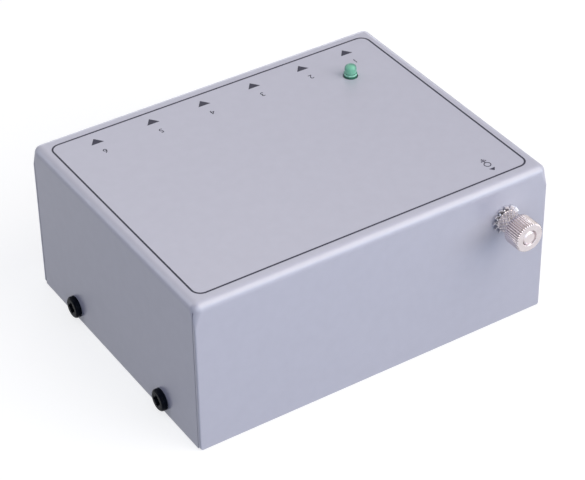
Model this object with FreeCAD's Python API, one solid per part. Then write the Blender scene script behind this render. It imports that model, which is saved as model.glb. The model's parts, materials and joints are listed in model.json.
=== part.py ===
import FreeCAD, Part
import math
import os

# Phono preamp in a folded steel case, millimetres.
# Origin: middle of the underside. +Z up, +X along the case, -Y is the socket side,
# +Y is the side of the ground terminal.

Vector = FreeCAD.Vector
axis_x = Vector(1, 0, 0)
axis_y = Vector(0, 1, 0)
axis_z = Vector(0, 0, 1)

# Clearances
press_gap = 0.02      # parts pushed together
thread_gap = 0.05     # between a thread and its nut, on the radius
hole_gap = 0.15       # a part in a free hole, on the radius
seat_gap = 0.10       # between flat neighbours that only lie beside each other

# Case
case_length = 110.0
case_depth = 86.0
case_height = 47.0
sheet = 1.0
bend_radius = 2.3
arris_radius = 0.5
inner_arris_radius = 0.2
corner_run = 4.0      # height over which the round top corners become sharp arrises
seam_gap = 0.25
flange_corner = 1.0
skirt_lift = 0.2

# Case screws, two on each short side
case_screw_diameter = 3.0
case_screw_head = 6.3
case_screw_head_height = 1.6
case_screw_length = 5.0
case_screw_spacing = 47.0
case_screw_height = 3.9

# Bottom plate
plate_side_gap = 0.3
tab_end_gap = 0.15
tab_height = 9.0
tab_width = 70.0
tab_bend_radius = 1.5
collar_diameter = 5.2
collar_length = 1.4

# Circuit board and its rear supports
board_side_gap = 4.0
board_rear_gap = 7.0
board_front_gap = 0.8
board_corner = 1.5
board_thickness = 1.6
standoff_length = 18.0
standoff_flats = 5.5
standoff_side_inset = 3.5
standoff_rear_inset = 5.0
board_screw_diameter = 3.0
board_screw_head = 5.6
board_screw_head_height = 2.4
board_screw_length = 6.0
countersunk_head = 5.5
lead_width = 0.6
lead_out = 1.2        # how far a lead stands out under the board

# Sockets, by their place along the case
stereo_inset = 15.3
dc_inset = 13.2
dc_to_phono = 15.0
phono_to_stereo = 17.45

# Phono sockets
phono_axis_height = 7.0
phono_shell_diameter = 8.3
phono_shell_wall = 0.4
phono_shell_out = 9.2
phono_shell_base = 9.0
phono_insulator_step = 1.0
phono_contact_diameter = 4.3
phono_contact_bore = 3.25
phono_contact_step = 1.6
phono_block_height = 12.5
phono_block_depth = 10.0
phono_block_margin = 5.3
phono_collar_diameter = 10.0
phono_collar_out = 0.2
phono_embed = 5.0
block_screw_diameter = 2.9
block_screw_head = 5.5
block_screw_head_height = 2.0
block_screw_length = 8.0

# Stereo jack
jack_axis_height = 8.0
jack_body_width = 16.0
jack_body_height = 16.0
jack_body_depth = 27.0
jack_bore = 6.45
jack_body_bore = 6.9
jack_thread = 9.5
jack_nose_out = 5.0
jack_nose_embed = 4.0
jack_flange = 11.5
jack_flange_thickness = 1.5
jack_rear_wall = 1.5
jack_nut_flats = 12.7
jack_nut_thickness = 2.4
jack_washer_diameter = 14.0
jack_washer_thickness = 0.6
spring_width = 3.0
spring_thickness = 0.4
spring_rise = 1.0
spring_root_step = 3.6
tip_spring_length = 18.0
ring_spring_length = 11.0

# Power socket
dc_axis_height = 6.5
dc_body_width = 9.0
dc_body_height = 11.0
dc_body_depth = 14.4
dc_collar_diameter = 8.2
dc_bore = 6.3
dc_bore_depth = 9.6
dc_pin = 2.05
dc_pin_root = 2.4
dc_pin_step = 0.8
dc_spring_width = 2.4
dc_spring_run = 6.0

# Power lamp
lamp_side_inset = 18.7
lamp_front_inset = 19.75
lamp_diameter = 3.4
lamp_flange = 3.8
lamp_flange_thickness = 1.0
lamp_height = 3.35
lamp_base_above_top = 0.5
lamp_hole = 4.3
lamp_lead_pitch = 2.54
lamp_lead = 0.5
spacer_diameter = 5.0
spacer_neck = 3.7

# Ground terminal
ground_side_inset = 14.0
ground_height = 35.4
stud_diameter = 4.0
stud_head = 8.0
stud_head_height = 2.4
stud_chamfer = 0.45
lug_diameter = 8.0
lug_thickness = 0.8
lug_tongue_width = 4.0
barrel_diameter = 3.0
barrel_length = 4.4
barrel_drop = 4.6
wire_diameter = 1.6
wire_straight = 0.2
wire_landing_inset = 4.0
washer_ring = 6.6
washer_reach = 8.2
washer_thickness = 0.5
washer_teeth = 12
washer_twist = 28.0
washer_stack = 1.2    # room for the twisted teeth
nut_neck_diameter = 6.6
nut_neck_length = 3.6
nut_cone_length = 0.8
nut_diameter = 8.8
nut_rim_length = 5.4
nut_chamfer = 0.3
nut_countersink = 4.5
knurl_teeth = 44
knurl_depth = 0.2

# Parts on the board
part_gap = 3.0        # between neighbours in a row
small_lead = 0.5
can_lift = 0.3
op_amp_length = 9.4
op_amp_width = 6.4
op_amp_height = 3.3
op_amp_lift = 0.5
op_amp_row_spacing = 7.62
op_amp_lead_pitch = 2.54
coupling_diameter = 6.3
coupling_height = 11.0
coupling_lead_pitch = 2.5
supply_diameter = 10.0
supply_height = 16.0
supply_lead_pitch = 5.0
film_width = 7.2
film_depth = 4.5
film_height = 9.5
film_lead_pitch = 5.0
resistor_diameter = 2.3
resistor_length = 6.0
resistor_lead_pitch = 8.0
resistor_step = 6.0
resistor_overrun = 3.2
diode_diameter = 2.7
diode_length = 5.2
diode_lead_pitch = 10.16
regulator_diameter = 4.8
regulator_height = 4.6
regulator_lift = 3.0
regulator_flat = 1.4
regulator_lead = 0.45
regulator_lead_pitch = 1.6

# Places worked out from the sizes above
half_length = case_length / 2
half_depth = case_depth / 2
inner_half_length = half_length - sheet
inner_half_depth = half_depth - sheet
panel_outer = -half_depth
panel_inner = -inner_half_depth
board_bottom = sheet + standoff_length
board_top = board_bottom + board_thickness
lead_end = board_bottom - lead_out
board_front = panel_inner + board_front_gap
board_half_length = inner_half_length - board_side_gap
board_rear = inner_half_depth - board_rear_gap
standoff_half_spacing = board_half_length - standoff_side_inset
standoff_y = board_rear - standoff_rear_inset
socket_back_face = panel_inner + seat_gap
stereo_x = half_length - stereo_inset
dc_x = -half_length + dc_inset
phono_first = dc_x + dc_to_phono
phono_pitch = (stereo_x - phono_to_stereo - phono_first) / 3
phono_x = [phono_first + phono_pitch * number for number in range(4)]
lamp_x = -half_length + lamp_side_inset
lamp_y = -half_depth + lamp_front_inset
ground_x = -half_length + ground_side_inset
wire_landing_y = board_rear - wire_landing_inset
phono_z = board_top + phono_axis_height
jack_z = board_top + jack_axis_height
dc_z = board_top + dc_axis_height
lamp_base = case_height + lamp_base_above_top
washer_face = half_depth + washer_stack
nut_face = washer_face + nut_neck_length + nut_cone_length + nut_rim_length
barrel_y = inner_half_depth - barrel_diameter / 2 - seat_gap
barrel_top = ground_height - barrel_drop
barrel_bottom = barrel_top - barrel_length

# Every lead that goes through the board adds its place here, and the board is drilled last
board_holes = []


def box(x_range, y_range, z_range):
    size = [high - low for low, high in (x_range, y_range, z_range)]
    return Part.makeBox(*size, Vector(x_range[0], y_range[0], z_range[0]))


def block(x, y, z, width, depth, height):
    """A box centred on x and y, standing on z."""
    return box((x - width / 2, x + width / 2), (y - depth / 2, y + depth / 2), (z, z + height))


def rod(base, direction, diameter, length):
    return Part.makeCylinder(diameter / 2, length, base, direction)


def tube(base, direction, outside, inside, length):
    return rod(base, direction, outside, length).cut(rod(base, direction, inside, length))


def prism(points, direction):
    return Part.Face(Part.makePolygon(points + points[:1])).extrude(direction)


def turned(profile, base, direction):
    """A solid turned round an axis from a list of (radius, place along the axis)."""
    points = [Vector(radius, 0, along) for radius, along in profile]
    face = Part.Face(Part.makePolygon(points + points[:1]))
    solid = face.revolve(Vector(0, 0, 0), axis_z, 360)
    solid.Placement = FreeCAD.Placement(base, FreeCAD.Rotation(axis_z, direction))
    return solid


def hexagon(base, direction, flats, length):
    corner = flats / math.sqrt(3)
    angles = [math.radians(60 * side + 30) for side in range(6)]
    points = [Vector(corner * math.cos(a), corner * math.sin(a), 0) for a in angles]
    solid = prism(points, axis_z * length)
    solid.Placement = FreeCAD.Placement(base, FreeCAD.Rotation(axis_z, direction))
    return solid


def joined(pieces):
    return pieces[0].fuse(pieces[1:]).removeSplitter() if len(pieces) > 1 else pieces[0]


def rounded(solid, radius, chosen):
    """The solid with the straight edges that chosen picks, by direction and middle, rounded."""
    edges = []
    for edge in solid.Edges:
        if isinstance(edge.Curve, Part.Line):
            direction = edge.tangentAt(edge.FirstParameter)
            if chosen(direction, edge.CenterOfMass):
                edges.append(edge)
    return solid.makeFillet(radius, edges)


def save(name, shape):
    shape.exportStep("parts/" + name + ".step")


# Case

def upright(direction, middle):
    return abs(direction.z) > 0.9


def rounded_rectangle(x, y, radius, z):
    """The outline of a block with rounded upright edges, as a wire at the height z."""
    slab = rounded(box((-x, x), (-y, y), (z, z + 1)), radius, upright)
    return [face for face in slab.Faces if face.CenterOfMass.z < z + 0.01][0].OuterWire


def envelope(inset, arris):
    """The folded case as a solid block, drawn in by inset on the sides and top.

    The bends meet in round corners, which run out into the arris radius below.
    """
    x = half_length - inset
    y = half_depth - inset
    radius = bend_radius - inset
    top = case_height - inset
    bottom = skirt_lift - (inset > 0)
    crown_base = top - radius
    run_base = crown_base - corner_run
    crown = rounded(box((-x, x), (-y, y), (bottom, top)), radius,
                    lambda d, p: upright(d, p) or p.z > top - 0.01)
    crown = crown.common(box((-x, x), (-y, y), (crown_base, top)))
    run = Part.makeLoft([rounded_rectangle(x, y, arris, run_base),
                         rounded_rectangle(x, y, radius, crown_base)], True, True)
    skirt = rounded(box((-x, x), (-y, y), (bottom, run_base)), arris, upright)
    return joined([crown, run, skirt])


def corner_cutter(side_x, side_y):
    """Rounds the free lower corner of a long flange, seen square to the flange."""
    radius = flange_corner
    x = side_x * half_length
    flange = sorted((side_y * (half_depth + 1), side_y * (inner_half_depth - seam_gap / 2)))
    square = box(sorted((x, x - side_x * radius)), flange, (skirt_lift - 1, skirt_lift + radius))
    centre = Vector(x - side_x * radius, flange[0], skirt_lift + radius)
    return square.cut(rod(centre, axis_y, 2 * radius, flange[1] - flange[0]))


def top_cover():
    cover = envelope(0, arris_radius).cut(envelope(sheet, inner_arris_radius))
    cuts = []
    for side_x in (-1, 1):
        x_range = sorted((side_x * (inner_half_length - 0.5), side_x * (half_length + 1)))
        for side_y in (-1, 1):
            y_range = sorted((side_y * (inner_half_depth - seam_gap), side_y * inner_half_depth))
            cuts.append(box(x_range, y_range, (skirt_lift - 1, case_height - bend_radius)))
            cuts.append(corner_cutter(side_x, side_y))
            screw_hole = Vector(x_range[0], side_y * case_screw_spacing / 2, case_screw_height)
            cuts.append(rod(screw_hole, axis_x, case_screw_diameter + 2 * hole_gap, sheet + 2))
    cuts.append(rod(Vector(lamp_x, lamp_y, case_height - 2 * sheet), axis_z, lamp_hole, 3 * sheet))
    stud_hole = Vector(ground_x, inner_half_depth - sheet, ground_height)
    cuts.append(rod(stud_hole, axis_y, stud_diameter + 2 * hole_gap, 3 * sheet))
    panel = panel_outer - sheet
    cuts.append(rod(Vector(dc_x, panel, dc_z), axis_y, dc_collar_diameter + 2 * hole_gap, 3 * sheet))
    cuts.append(rod(Vector(stereo_x, panel, jack_z), axis_y, jack_thread + 2 * hole_gap, 3 * sheet))
    for x in phono_x:
        diameter = phono_collar_diameter + 2 * hole_gap
        cuts.append(rod(Vector(x, panel, phono_z), axis_y, diameter, 3 * sheet))
    for x in block_screw_places():
        diameter = block_screw_diameter + 2 * hole_gap
        cuts.append(rod(Vector(x, panel, phono_z), axis_y, diameter, 3 * sheet))
    return cover.cut(cuts)


def bottom_plate():
    """A flat plate inside the cover, with a turned-up tab at each end for the case screws."""
    end = inner_half_length - tab_end_gap
    side = inner_half_depth - plate_side_gap
    half_tab = tab_width / 2
    plate = box((-end + tab_bend_radius, end - tab_bend_radius), (-side, side), (0, sheet))
    tray = box((-end, end), (-half_tab, half_tab), (0, tab_height))
    tray = rounded(tray, tab_bend_radius, lambda d, p: abs(d.y) > 0.9 and p.z < 0.01)
    inner_end = end - sheet
    hollow = box((-inner_end, inner_end), (-half_tab - 1, half_tab + 1), (sheet, tab_height + 1))
    inner_bend = tab_bend_radius - sheet
    hollow = rounded(hollow, inner_bend, lambda d, p: abs(d.y) > 0.9 and p.z < sheet + 0.01)
    pieces = [tray.cut(hollow), plate]
    bores = []
    for side_x in (-1, 1):
        for side_y in (-1, 1):
            y = side_y * case_screw_spacing / 2
            centre = Vector(side_x * end, y, case_screw_height)
            inward = Vector(-side_x, 0, 0)
            pieces.append(rod(centre + inward * (sheet / 2), inward, collar_diameter,
                              sheet / 2 + collar_length))
            bores.append(rod(centre - inward, inward, case_screw_diameter + 2 * thread_gap, 5))
        bores.append(countersink(Vector(side_x * standoff_half_spacing, standoff_y, 0)))
    return joined(pieces).cut(bores)


def countersink(base):
    head = countersunk_head / 2 + seat_gap
    shank = board_screw_diameter / 2 + hole_gap
    depth = head - shank
    profile = [(0, -1), (head, -1), (head, 0), (shank, depth), (shank, sheet + 1), (0, sheet + 1)]
    return turned(profile, base, axis_z)


# Fasteners

def cross_recess(head_diameter, depth):
    """Two crossed slots and a cone, as a cutter whose mouth is at the origin, pointing to -Z."""
    length = 0.55 * head_diameter
    width = 0.16 * head_diameter
    slots = [block(0, 0, -depth, length, width, depth), block(0, 0, -depth, width, length, depth)]
    cone = Part.makeCone(0.12 * head_diameter, 0.22 * head_diameter, depth, Vector(0, 0, -depth))
    return joined(slots + [cone])


def pan_screw(base, outward, diameter, length, head, head_height):
    """A cross-recessed pan-head screw: base is under the head, outward points to the head."""
    cap = Part.makeCylinder(head / 2, head_height)
    rim = [edge for edge in cap.Edges if edge.CenterOfMass.z > head_height - 0.01]
    cap = cap.makeFillet(0.45 * head_height, rim)
    recess = cross_recess(head, 0.6 * head_height)
    recess.translate(Vector(0, 0, head_height))
    shank = Part.makeCylinder(diameter / 2, length, Vector(0, 0, -length))
    tip = [edge for edge in shank.Edges if edge.CenterOfMass.z < 0.01 - length]
    shank = shank.makeChamfer(0.12 * diameter, tip)
    screw = joined([cap.cut(recess), shank])
    screw.Placement = FreeCAD.Placement(base, FreeCAD.Rotation(axis_z, outward))
    return screw


def flat_screw(base, length):
    """A countersunk screw whose head lies flush with base, driven up from below."""
    head = countersunk_head / 2
    shank = board_screw_diameter / 2
    profile = [(0, 0), (head, 0), (shank, head - shank), (shank, length), (0, length)]
    recess = cross_recess(countersunk_head, 0.8)
    recess.rotate(Vector(0, 0, 0), axis_x, 180)
    recess.translate(base)
    return turned(profile, base, axis_z).cut(recess)


def case_screws():
    screws = []
    for side_x in (-1, 1):
        for side_y in (-1, 1):
            base = Vector(side_x * half_length, side_y * case_screw_spacing / 2, case_screw_height)
            screws.append(pan_screw(base, Vector(side_x, 0, 0), case_screw_diameter,
                                    case_screw_length, case_screw_head, case_screw_head_height))
    return Part.makeCompound(screws)


def standoff_bases():
    return [Vector(side * standoff_half_spacing, standoff_y, sheet) for side in (-1, 1)]


def board_standoffs():
    bore = board_screw_diameter / 2 + thread_gap
    mouth = countersunk_head / 2 - sheet + seat_gap
    top = standoff_length
    thread = [(0, -1), (mouth, -1), (mouth, 0), (bore, mouth - bore),
              (bore, top - mouth + bore), (mouth, top), (mouth, top + 1), (0, top + 1)]
    posts = []
    for base in standoff_bases():
        post = hexagon(base, axis_z, standoff_flats, standoff_length)
        posts.append(post.cut(turned(thread, base, axis_z)))
    return Part.makeCompound(posts)


def board_screws():
    rise = Vector(0, 0, board_top - sheet)
    return Part.makeCompound([
        pan_screw(base + rise, axis_z, board_screw_diameter, board_screw_length,
                  board_screw_head, board_screw_head_height)
        for base in standoff_bases()])


def plate_screws():
    return Part.makeCompound([
        flat_screw(base - Vector(0, 0, sheet), board_screw_length) for base in standoff_bases()])


def block_screw_places():
    return [(phono_x[0] + phono_x[1]) / 2, (phono_x[2] + phono_x[3]) / 2]


def block_screws():
    return Part.makeCompound([
        pan_screw(Vector(x, panel_outer, phono_z), -axis_y, block_screw_diameter,
                  block_screw_length, block_screw_head, block_screw_head_height)
        for x in block_screw_places()])


# Leads

def lead(x, y, top, width=lead_width):
    """A flat lead from top down through the board."""
    board_holes.append((x, y, width * math.sqrt(2) + 2 * hole_gap))
    return block(x, y, lead_end, width, width, top - lead_end)


def lead_slot(x, y, top, bottom=board_top):
    """The slot that a moulding has round a lead."""
    width = lead_width + 2 * press_gap
    return block(x, y, bottom - 1, width, width, top - bottom + 1)


# Phono sockets

shell_rear = panel_inner + phono_embed
shell_front = panel_outer - phono_shell_out
shell_bore = phono_shell_diameter - 2 * phono_shell_wall
collar_face = panel_outer - phono_collar_out
ground_lead_y = shell_rear - 1.0
contact_lead_y = shell_rear + 1.5


def phono_block(first):
    """The moulding that holds two phono sockets, with a screw boss between them."""
    pair = phono_x[first:first + 2]
    margin = phono_block_margin
    rear = socket_back_face + phono_block_depth
    body = box((pair[0] - margin, pair[1] + margin), (socket_back_face, rear),
               (board_top, board_top + phono_block_height))
    body = rounded(body, 0.5, lambda d, p: abs(d.y) > 0.9 and p.z > board_top + 1)
    cuts = []
    collars = []
    for x in pair:
        face = Vector(x, collar_face, phono_z)
        length = socket_back_face - face.y + 0.5
        collars.append(rod(face, axis_y, phono_collar_diameter, length))
        seat = Vector(x, face.y - 1, phono_z)
        cuts.append(rod(seat, axis_y, phono_shell_base + 2 * press_gap, shell_rear - seat.y))
        tail = Vector(x, shell_rear - 1, phono_z)
        tail_bore = phono_contact_diameter + 2 * press_gap
        cuts.append(rod(tail, axis_y, tail_bore, contact_lead_y + lead_width - tail.y))
        cuts.append(lead_slot(x, ground_lead_y, phono_z))
        cuts.append(lead_slot(x, contact_lead_y, phono_z))
    pilot = Vector(sum(pair) / 2, socket_back_face - 1, phono_z)
    cuts.append(rod(pilot, axis_y, block_screw_diameter + 2 * press_gap, block_screw_length))
    return joined([body] + collars).cut(cuts)


def phono_shell(x):
    front = Vector(x, shell_front, phono_z)
    root_start = collar_face - phono_collar_out
    shell = tube(front, axis_y, phono_shell_diameter, shell_bore, root_start - shell_front)
    rims = [edge for edge in shell.Edges
            if edge.CenterOfMass.y < shell_front + 0.01 and not isinstance(edge.Curve, Part.Line)]
    shell = shell.makeFillet(0.15, rims)
    root = tube(Vector(x, root_start, phono_z), axis_y, phono_shell_base, shell_bore,
                shell_rear - root_start)
    tail = lead(x, ground_lead_y, phono_z - shell_bore / 2 - phono_shell_wall / 2)
    return joined([shell, root, tail])


def phono_insulator(x):
    front = Vector(x, shell_front + phono_insulator_step, phono_z)
    outside = shell_bore - 2 * press_gap
    inside = phono_contact_diameter + 2 * press_gap
    return tube(front, axis_y, outside, inside, shell_rear - front.y)


def phono_contact(x):
    """The split centre sleeve that grips the pin of the plug, with its tail at the rear."""
    front = Vector(x, shell_front + phono_contact_step, phono_z)
    rear = contact_lead_y + lead_width / 2
    sleeve = rod(front, axis_y, phono_contact_diameter, rear - front.y)
    bore = rod(front, axis_y, phono_contact_bore, shell_rear - front.y)
    slit = block(x, front.y + 2.5, phono_z - phono_contact_diameter / 2, 0.5, 5, phono_contact_diameter)
    tail = lead(x, contact_lead_y, phono_z - phono_contact_diameter / 2 + 0.2)
    return joined([sleeve.cut([bore, slit]), tail])


# Stereo jack

jack_rear = socket_back_face + jack_body_depth
nose_front = panel_outer - jack_nose_out
nose_rear = socket_back_face + jack_nose_embed
tip_root = jack_rear - jack_rear_wall - spring_thickness
ring_root = tip_root - spring_root_step
tip_height = jack_z + jack_bore / 2
ring_height = jack_z - jack_bore / 2


def jack_body():
    body = box((stereo_x - jack_body_width / 2, stereo_x + jack_body_width / 2),
               (socket_back_face, jack_rear), (board_top, board_top + jack_body_height))
    body = rounded(body, 0.8, lambda d, p: abs(d.y) > 0.9 and p.z > board_top + 1)
    axis = Vector(stereo_x, socket_back_face, jack_z)
    cuts = [rod(axis, axis_y, jack_body_bore, jack_body_depth - jack_rear_wall),
            rod(axis, axis_y, jack_thread + 2 * press_gap, jack_nose_embed),
            rod(axis, axis_y, jack_flange + 2 * press_gap, jack_flange_thickness)]
    for spring in (tip_spring_shape(2 * press_gap), ring_spring_shape(2 * press_gap)):
        cuts.append(spring)
    for y in (tip_root, ring_root):
        cuts.append(lead_slot(stereo_x, y, board_top + spring_rise))
    cuts.append(lead_slot(stereo_x, nose_rear - lead_width, jack_z))
    return body.cut(cuts)


def jack_bushing():
    """The threaded nose, which is also the sleeve contact."""
    nose = tube(Vector(stereo_x, nose_front, jack_z), axis_y, jack_thread, jack_bore,
                nose_rear - nose_front)
    edge_front = [edge for edge in nose.Edges if edge.CenterOfMass.y < nose_front + 0.01
                  and abs(edge.Length - math.pi * jack_thread) < 0.1]
    nose = nose.makeChamfer(0.5, edge_front)
    flange = tube(Vector(stereo_x, socket_back_face, jack_z), axis_y, jack_flange, jack_bore,
                  jack_flange_thickness)
    tail = lead(stereo_x, nose_rear - lead_width, jack_z - jack_thread / 2 + 0.3)
    return joined([nose, flange, tail])


def jack_washer():
    base = Vector(stereo_x, panel_outer - jack_washer_thickness, jack_z)
    return tube(base, axis_y, jack_washer_diameter, jack_thread + 2 * hole_gap,
                jack_washer_thickness)


def jack_nut():
    base = Vector(stereo_x, panel_outer - jack_washer_thickness - jack_nut_thickness, jack_z)
    nut = hexagon(base, axis_y, jack_nut_flats, jack_nut_thickness)
    crown = rod(base, axis_y, jack_nut_flats * 1.08, jack_nut_thickness)
    return nut.common(crown).cut(rod(base, axis_y, jack_thread + 2 * thread_gap,
                                     jack_nut_thickness))


def bent_strip(points, width, gap):
    """A flat strip of spring metal that follows points in the Y-Z plane, centred on stereo_x."""
    half = spring_thickness / 2 + gap / 2
    pieces = []
    for start, end in zip(points, points[1:]):
        run = (end - start).normalize()
        side = Vector(0, -run.z, run.y) * half
        corners = [start - run * half + side, end + run * half + side,
                   end + run * half - side, start - run * half - side]
        shift = Vector(-width / 2 - gap / 2, 0, 0)
        pieces.append(prism([corner + shift for corner in corners], axis_x * (width + gap)))
    return joined(pieces)


def tip_spring_shape(gap=0):
    path = [Vector(stereo_x, tip_root, board_top + spring_rise),
            Vector(stereo_x, tip_root, tip_height + 1.2),
            Vector(stereo_x, tip_root - tip_spring_length * 0.6, tip_height + 0.6),
            Vector(stereo_x, tip_root - tip_spring_length * 0.8, tip_height - 0.6),
            Vector(stereo_x, tip_root - tip_spring_length, tip_height + 0.8)]
    return bent_strip(path, spring_width, gap)


def ring_spring_shape(gap=0):
    path = [Vector(stereo_x, ring_root, board_top + spring_rise),
            Vector(stereo_x, ring_root, ring_height - 0.9),
            Vector(stereo_x, ring_root - ring_spring_length * 0.6, ring_height - 0.5),
            Vector(stereo_x, ring_root - ring_spring_length * 0.8, ring_height + 0.5),
            Vector(stereo_x, ring_root - ring_spring_length, ring_height - 0.8)]
    return bent_strip(path, spring_width, gap)


def spring_lead(y):
    return lead(stereo_x, y, board_top + spring_rise, spring_thickness)


def jack_tip_spring():
    return joined([tip_spring_shape(), spring_lead(tip_root)])


def jack_ring_spring():
    return joined([ring_spring_shape(), spring_lead(ring_root)])


# Power socket

dc_rear = socket_back_face + dc_body_depth
dc_front = panel_outer - 0.1
dc_bore_end = dc_front + dc_bore_depth
dc_spring_lead_y = dc_bore_end - 1.5


def dc_socket_body():
    body = block(dc_x, (socket_back_face + dc_rear) / 2, board_top, dc_body_width, dc_body_depth,
                 dc_body_height)
    body = rounded(body, 0.5, lambda d, p: abs(d.y) > 0.9 and p.z > board_top + 1)
    collar = rod(Vector(dc_x, dc_front, dc_z), axis_y, dc_collar_diameter,
                 socket_back_face - dc_front + 0.5)
    cuts = [rod(Vector(dc_x, dc_front - 1, dc_z), axis_y, dc_bore, dc_bore_end - dc_front + 1),
            rod(Vector(dc_x, dc_bore_end - 1, dc_z), axis_y, dc_pin_root + 2 * press_gap,
                dc_rear - dc_bore_end),
            dc_spring_shape(press_gap),
            lead_slot(dc_x, dc_rear - 1.0 - lead_width / 2, dc_z),
            lead_slot(dc_x, dc_spring_lead_y, dc_z - dc_bore / 2)]
    return joined([body, collar]).cut(cuts)


def dc_pin_contact():
    start = Vector(dc_x, dc_front + dc_pin_step, dc_z)
    rear = dc_rear - 1.0
    pin = rod(start, axis_y, dc_pin, rear - start.y)
    point = [edge for edge in pin.Edges if edge.CenterOfMass.y < start.y + 0.01]
    pin = pin.makeFillet(0.4 * dc_pin, point)
    root_start = dc_bore_end - phono_collar_out
    root = rod(Vector(dc_x, root_start, dc_z), axis_y, dc_pin_root, rear - root_start)
    return joined([pin, root, lead(dc_x, rear - lead_width / 2, dc_z)])


def dc_spring_shape(gap=0):
    """A leaf in the floor of the bore that touches the sleeve of the plug."""
    leaf_top = dc_z - dc_bore / 2 + 0.35
    run = (dc_bore_end - dc_spring_run - gap, dc_bore_end + gap)
    half = dc_spring_width / 2 + gap
    return box((dc_x - half, dc_x + half), run, (leaf_top - spring_thickness - gap, leaf_top + gap))


def dc_sleeve_spring():
    leg = lead(dc_x, dc_spring_lead_y, dc_z - dc_bore / 2 + 0.1)
    return joined([dc_spring_shape(), leg])


# Power lamp

def power_lamp():
    radius = lamp_diameter / 2
    base = Vector(lamp_x, lamp_y, lamp_base)
    barrel = rod(base, axis_z, lamp_diameter, lamp_height - radius)
    dome = Part.makeSphere(radius, base + Vector(0, 0, lamp_height - radius), axis_z, 0, 90)
    flange = rod(base, axis_z, lamp_flange, lamp_flange_thickness)
    return joined([barrel, dome, flange])


def lamp_lead_places():
    return [lamp_x - lamp_lead_pitch / 2, lamp_x + lamp_lead_pitch / 2]


def lamp_leads():
    return Part.makeCompound([lead(x, lamp_y, lamp_base, lamp_lead) for x in lamp_lead_places()])


def lamp_spacer():
    """A sleeve from the board to the lamp, with a narrow neck through the hole in the cover."""
    base = Vector(lamp_x, lamp_y, board_top)
    shoulder = case_height - sheet - seat_gap - board_top
    length = lamp_base - board_top
    sleeve = joined([rod(base, axis_z, spacer_diameter, shoulder),
                     rod(base, axis_z, spacer_neck, length)])
    width = lamp_lead + 2 * press_gap
    slots = [block(x, lamp_y, board_top, width, width, length) for x in lamp_lead_places()]
    return sleeve.cut(slots)


# Ground terminal

def ground_stud():
    """A pan-head screw from inside, whose end is flush with the front of the knurled nut."""
    under_head = inner_half_depth - lug_thickness
    base = Vector(ground_x, under_head, ground_height)
    screw = pan_screw(base, -axis_y, stud_diameter, nut_face - under_head, stud_head,
                      stud_head_height)
    return screw


def ground_lug():
    """A crimp ring under the head of the stud, with its barrel hanging down."""
    face = inner_half_depth - lug_thickness
    ring = rod(Vector(ground_x, face, ground_height), axis_y, lug_diameter, lug_thickness)
    tongue = box((ground_x - lug_tongue_width / 2, ground_x + lug_tongue_width / 2),
                 (face, inner_half_depth), (barrel_top - 1.0, ground_height))
    crimp = Vector(ground_x, barrel_y, barrel_bottom)
    barrel = rod(crimp, axis_z, barrel_diameter, barrel_length)
    solid = joined([ring, tongue, barrel])
    hole = rod(Vector(ground_x, face - 1, ground_height), axis_y, stud_diameter + 2 * hole_gap,
               lug_thickness + 2)
    bore = rod(crimp, axis_z, wire_diameter + 2 * press_gap, barrel_length)
    return solid.cut([hole, bore])


def wire_point(y, z):
    return Vector(ground_x, y, z)


def ground_wire():
    """The insulated wire from the lug to the board: down, across in one plane, down again."""
    bend = (barrel_bottom - board_top) / 2 - wire_straight
    level = board_top + wire_straight + bend
    ease = bend * (1 - math.sqrt(0.5))
    down = [wire_point(barrel_y, barrel_top), wire_point(barrel_y, level + bend)]
    turn = [down[1], wire_point(barrel_y - ease, level + ease), wire_point(barrel_y - bend, level)]
    across = [turn[2], wire_point(wire_landing_y + bend, level)]
    drop = [across[1], wire_point(wire_landing_y + ease, level - ease),
            wire_point(wire_landing_y, level - bend)]
    last = [drop[2], wire_point(wire_landing_y, lead_end)]
    path = Part.Wire([Part.LineSegment(*down).toShape(), Part.Arc(*turn).toShape(),
                      Part.LineSegment(*across).toShape(), Part.Arc(*drop).toShape(),
                      Part.LineSegment(*last).toShape()])
    section = Part.Wire(Part.Circle(down[0], axis_z, wire_diameter / 2).toShape())
    wire = path.makePipeShell([section], True, False)
    expected = math.pi * (wire_diameter / 2) ** 2 * path.Length
    print("ground wire", round(path.Length, 1), "mm long, volume over section times length",
          round(wire.Volume / expected, 4), "bends", round(bend, 2))
    board_holes.append((ground_x, wire_landing_y, wire_diameter + 2 * hole_gap))
    return wire


def star_washer():
    """An external-tooth lock washer: a flat ring with twisted teeth."""
    middle = half_depth + washer_stack / 2
    base = Vector(ground_x, middle - washer_thickness / 2, ground_height)
    ring = rod(base, axis_y, washer_ring, washer_thickness)
    pitch = 360 / washer_teeth
    width = 0.55 * math.pi * washer_ring / washer_teeth
    start = washer_ring / 2 - 0.3
    reach = washer_reach / 2 - start
    pieces = [ring]
    centre = Vector(ground_x, middle, ground_height)
    for number in range(washer_teeth):
        tooth = Part.makeBox(reach, washer_thickness, width,
                             Vector(start, -washer_thickness / 2, -width / 2))
        tooth.rotate(Vector(0, 0, 0), axis_x, washer_twist)
        tooth.rotate(Vector(0, 0, 0), axis_y, number * pitch)
        tooth.translate(centre)
        pieces.append(tooth)
    bore = rod(base - axis_y, axis_y, stud_diameter + 2 * hole_gap, washer_thickness + 2)
    return joined(pieces).cut(bore)


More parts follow.
